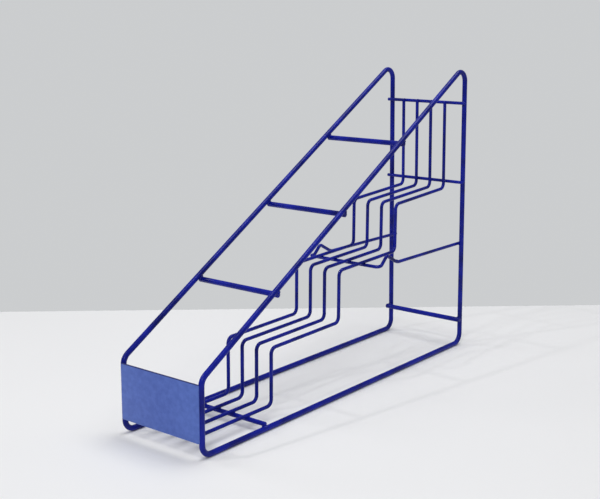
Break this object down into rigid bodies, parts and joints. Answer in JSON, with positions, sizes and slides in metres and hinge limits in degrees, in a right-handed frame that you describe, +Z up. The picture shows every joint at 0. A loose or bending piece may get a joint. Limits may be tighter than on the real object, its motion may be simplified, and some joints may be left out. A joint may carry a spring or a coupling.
{
  "type": "photo album stand",
  "caption": "Stepped wire display stand: sloping side frames, retaining bars and bent step wires form pockets for photo albums behind a sheet-metal front panel.",
  "frame": {"origin": "on the surface the stand rests on, under the middle of its outer box", "axes": "+Z up, +Y from the low front panel to the high rear, +X across the stand to its right seen from the front"},
  "size_m": [0.115, 0.4966, 0.3583],
  "materials": {
    "wire_coat": "gloss royal-blue powder coat on steel wire",
    "panel_coat": "semi-gloss blue powder coat with a fine orange-peel texture on sheet steel"
  },
  "bodies": {
    "root": {"left_side_frame": "wire_coat", "right_side_frame": "wire_coat", "front_panel": "panel_coat", "lower_retaining_bar": "wire_coat", "middle_retaining_bar": "wire_coat", "upper_retaining_bar": "wire_coat", "step_wire_1": "wire_coat", "step_wire_2": "wire_coat", "step_wire_3": "wire_coat", "step_wire_4": "wire_coat", "front_cross_bar": "wire_coat", "middle_support_wire": "wire_coat", "rear_foot_bar": "wire_coat", "rear_shelf_bar": "wire_coat", "rear_top_bar": "wire_coat"}
  },
  "joints": []
}
